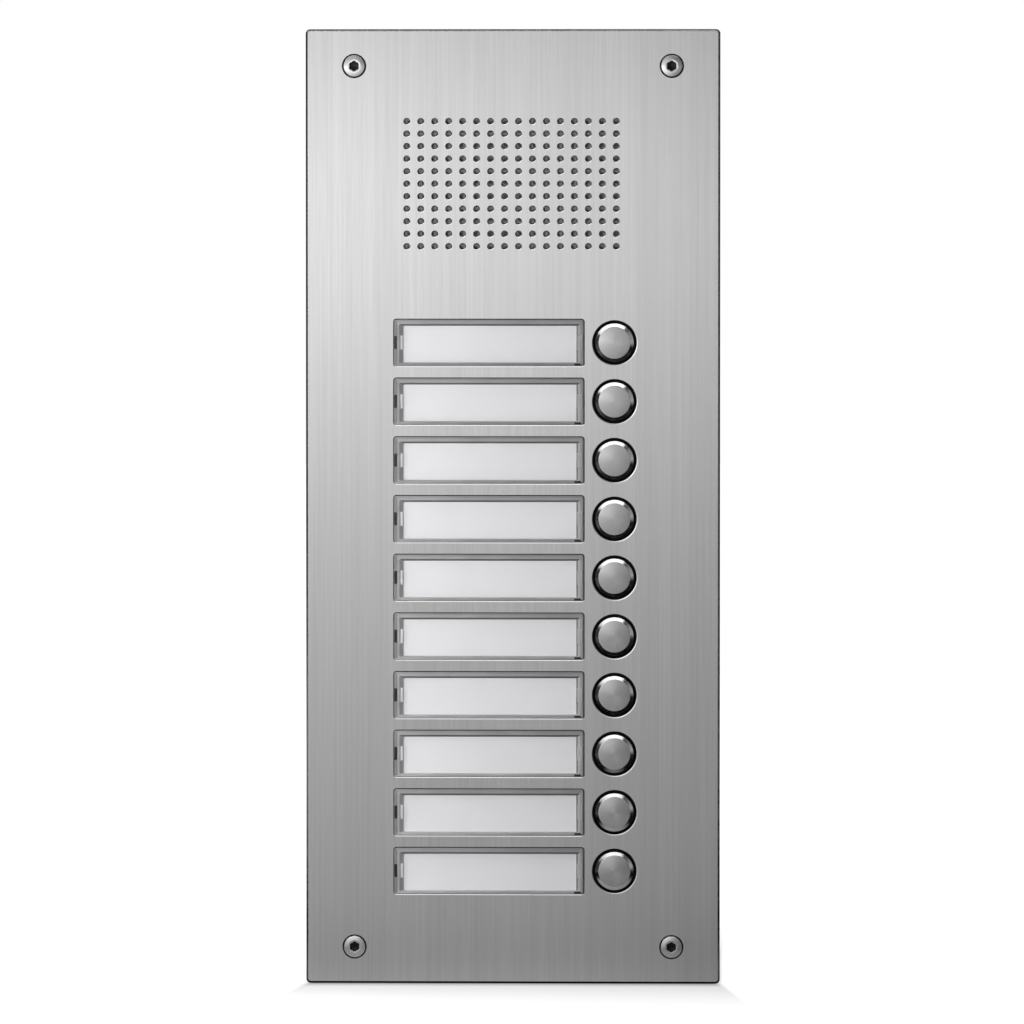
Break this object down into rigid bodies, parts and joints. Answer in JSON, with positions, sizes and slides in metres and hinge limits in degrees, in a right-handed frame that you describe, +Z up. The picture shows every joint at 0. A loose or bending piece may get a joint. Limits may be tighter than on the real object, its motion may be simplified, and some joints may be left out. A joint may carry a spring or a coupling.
{
  "type": "door intercom panel",
  "caption": "Flush-mounted steel door intercom panel with a speech grille, a column of sprung call buttons, backlit name windows and a sheet-steel back box.",
  "frame": {"origin": "the panel's centre on the surface of the wall, behind the faceplate and its gasket", "axes": "+X to the right seen from the street, +Y into the wall, +Z up; the panel faces -Y"},
  "size_m": [0.141, 0.0472, 0.325],
  "materials": {
    "brushed_steel": "brushed up and down, fine hairlines",
    "turned_steel": "turned and satin polished",
    "zinc_steel": "zinc plated, bright",
    "spring_steel": "drawn wire",
    "black_plastic": "moulded, fine matt",
    "grey_plastic": "moulded",
    "clear_plastic": "clear, polished",
    "white_plastic": "translucent white",
    "card": "plain white card",
    "rubber": "soft black",
    "paper": "pressed black paper",
    "mesh": "woven black mesh",
    "board": "green solder mask",
    "brass": "plain"
  },
  "bodies": {
    "root": {"faceplate": "brushed_steel", "wall_gasket": "rubber", "back_box": "zinc_steel", "rivet_nuts": "zinc_steel", "plate_screws": "turned_steel", "button_collars": "black_plastic", "button_carrier": "black_plastic", "name_cards": "card", "light_diffusers": "white_plastic", "weld_studs": "zinc_steel", "stud_nuts": "zinc_steel", "grille_screen": "mesh", "speaker_seal": "rubber", "speaker_basket": "zinc_steel", "speaker_cone": "paper", "speaker_magnet": "zinc_steel", "speaker_clamp": "zinc_steel", "microphone": "turned_steel", "microphone_boot": "rubber", "main_board": "board", "push_switches": "grey_plastic", "backlight_leds": "white_plastic", "board_screws": "zinc_steel", "terminal_block": "grey_plastic", "terminal_screws": "brass", "trimmer_bodies": "grey_plastic", "cable_grommet": "rubber", "return_spring_01": "spring_steel", "return_spring_02": "spring_steel", "return_spring_03": "spring_steel", "return_spring_04": "spring_steel", "return_spring_05": "spring_steel", "return_spring_06": "spring_steel", "return_spring_07": "spring_steel", "return_spring_08": "spring_steel", "return_spring_09": "spring_steel", "return_spring_10": "spring_steel"},
    "speaker_trimmer": {"speaker_trimmer": "white_plastic"},
    "mic_trimmer": {"mic_trimmer": "white_plastic"},
    "button_01": {"call_button_01": "turned_steel"},
    "button_02": {"call_button_02": "turned_steel"},
    "button_03": {"call_button_03": "turned_steel"},
    "button_04": {"call_button_04": "turned_steel"},
    "button_05": {"call_button_05": "turned_steel"},
    "button_06": {"call_button_06": "turned_steel"},
    "button_07": {"call_button_07": "turned_steel"},
    "button_08": {"call_button_08": "turned_steel"},
    "button_09": {"call_button_09": "turned_steel"},
    "button_10": {"call_button_10": "turned_steel"},
    "window_01": {"name_window_01": "clear_plastic"},
    "window_02": {"name_window_02": "clear_plastic"},
    "window_03": {"name_window_03": "clear_plastic"},
    "window_04": {"name_window_04": "clear_plastic"},
    "window_05": {"name_window_05": "clear_plastic"},
    "window_06": {"name_window_06": "clear_plastic"},
    "window_07": {"name_window_07": "clear_plastic"},
    "window_08": {"name_window_08": "clear_plastic"},
    "window_09": {"name_window_09": "clear_plastic"},
    "window_10": {"name_window_10": "clear_plastic"}
  },
  "joints": [
    {"name": "press_01", "type": "slide", "parent": "root", "child": "button_01", "axis": [0, 1, 0], "range_m": [0, 0.0012], "stiffness_N_per_m": 1000, "springref_m": -0.0008, "deforming": ["return_spring_01"]},
    {"name": "press_02", "type": "slide", "parent": "root", "child": "button_02", "axis": [0, 1, 0], "range_m": [0, 0.0012], "stiffness_N_per_m": 1000, "springref_m": -0.0008, "deforming": ["return_spring_02"]},
    {"name": "press_03", "type": "slide", "parent": "root", "child": "button_03", "axis": [0, 1, 0], "range_m": [0, 0.0012], "stiffness_N_per_m": 1000, "springref_m": -0.0008, "deforming": ["return_spring_03"]},
    {"name": "press_04", "type": "slide", "parent": "root", "child": "button_04", "axis": [0, 1, 0], "range_m": [0, 0.0012], "stiffness_N_per_m": 1000, "springref_m": -0.0008, "deforming": ["return_spring_04"]},
    {"name": "press_05", "type": "slide", "parent": "root", "child": "button_05", "axis": [0, 1, 0], "range_m": [0, 0.0012], "stiffness_N_per_m": 1000, "springref_m": -0.0008, "deforming": ["return_spring_05"]},
    {"name": "press_06", "type": "slide", "parent": "root", "child": "button_06", "axis": [0, 1, 0], "range_m": [0, 0.0012], "stiffness_N_per_m": 1000, "springref_m": -0.0008, "deforming": ["return_spring_06"]},
    {"name": "press_07", "type": "slide", "parent": "root", "child": "button_07", "axis": [0, 1, 0], "range_m": [0, 0.0012], "stiffness_N_per_m": 1000, "springref_m": -0.0008, "deforming": ["return_spring_07"]},
    {"name": "press_08", "type": "slide", "parent": "root", "child": "button_08", "axis": [0, 1, 0], "range_m": [0, 0.0012], "stiffness_N_per_m": 1000, "springref_m": -0.0008, "deforming": ["return_spring_08"]},
    {"name": "press_09", "type": "slide", "parent": "root", "child": "button_09", "axis": [0, 1, 0], "range_m": [0, 0.0012], "stiffness_N_per_m": 1000, "springref_m": -0.0008, "deforming": ["return_spring_09"]},
    {"name": "press_10", "type": "slide", "parent": "root", "child": "button_10", "axis": [0, 1, 0], "range_m": [0, 0.0012], "stiffness_N_per_m": 1000, "springref_m": -0.0008, "deforming": ["return_spring_10"]},
    {"name": "lift_window_01", "type": "slide", "parent": "root", "child": "window_01", "axis": [0, -1, 0], "range_m": [0, 0.012]},
    {"name": "lift_window_02", "type": "slide", "parent": "root", "child": "window_02", "axis": [0, -1, 0], "range_m": [0, 0.012]},
    {"name": "lift_window_03", "type": "slide", "parent": "root", "child": "window_03", "axis": [0, -1, 0], "range_m": [0, 0.012]},
    {"name": "lift_window_04", "type": "slide", "parent": "root", "child": "window_04", "axis": [0, -1, 0], "range_m": [0, 0.012]},
    {"name": "lift_window_05", "type": "slide", "parent": "root", "child": "window_05", "axis": [0, -1, 0], "range_m": [0, 0.012]},
    {"name": "lift_window_06", "type": "slide", "parent": "root", "child": "window_06", "axis": [0, -1, 0], "range_m": [0, 0.012]},
    {"name": "lift_window_07", "type": "slide", "parent": "root", "child": "window_07", "axis": [0, -1, 0], "range_m": [0, 0.012]},
    {"name": "lift_window_08", "type": "slide", "parent": "root", "child": "window_08", "axis": [0, -1, 0], "range_m": [0, 0.012]},
    {"name": "lift_window_09", "type": "slide", "parent": "root", "child": "window_09", "axis": [0, -1, 0], "range_m": [0, 0.012]},
    {"name": "lift_window_10", "type": "slide", "parent": "root", "child": "window_10", "axis": [0, -1, 0], "range_m": [0, 0.012]},
    {"name": "turn_speaker_trimmer", "type": "hinge", "parent": "root", "child": "speaker_trimmer", "pos_m": [-0.03, 0.0196, 0.041], "axis": [0, 1, 0], "range_deg": [-135, 135]},
    {"name": "turn_mic_trimmer", "type": "hinge", "parent": "root", "child": "mic_trimmer", "pos_m": [0.03, 0.0196, 0.041], "axis": [0, 1, 0], "range_deg": [-135, 135]}
  ]
}
